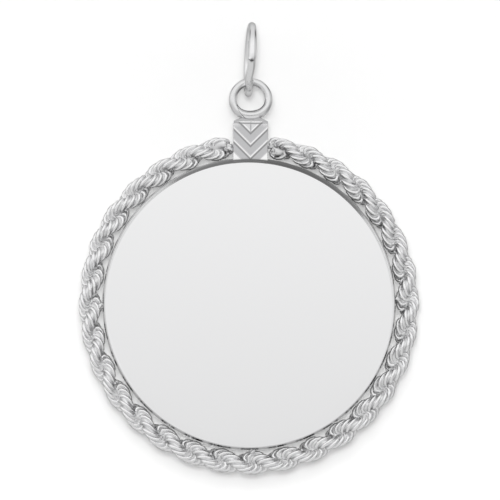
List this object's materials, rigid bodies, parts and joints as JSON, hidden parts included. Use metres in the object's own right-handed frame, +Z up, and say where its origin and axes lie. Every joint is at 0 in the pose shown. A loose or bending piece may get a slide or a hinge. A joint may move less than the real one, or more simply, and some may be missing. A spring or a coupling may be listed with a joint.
{
  "type": "disc pendant",
  "caption": "Plain polished silver disc in a twisted rope-chain bezel, with a chevron tab and eye on top, hanging on a round jump ring.",
  "frame": {"origin": "inside top of the jump ring, where the chain or hook that carries the pendant bears", "axes": "+Z up along the hanging line, from the disc to the jump ring; -Y is the front of the disc; +X is to the right seen from the front"},
  "size_m": [0.0284, 0.0062, 0.0379],
  "materials": {
    "disc_silver": "mirror-polished silver plate",
    "bezel_silver": "polished silver band, tab and eye, satin between the chevrons",
    "rope_silver": "polished silver wire links with bright cut facets",
    "ring_silver": "polished drawn silver wire"
  },
  "bodies": {
    "hanger": {"jump_ring": "ring_silver"},
    "pendant": {"disc": "disc_silver", "bezel": "bezel_silver", "rope_edge": "rope_silver"}
  },
  "joints": [
    {"name": "swing", "type": "hinge", "parent": "hanger", "child": "pendant", "pos_m": [0, 0, -0.00443], "axis": [1, 0, 0], "range_deg": [-85, 85]}
  ]
}
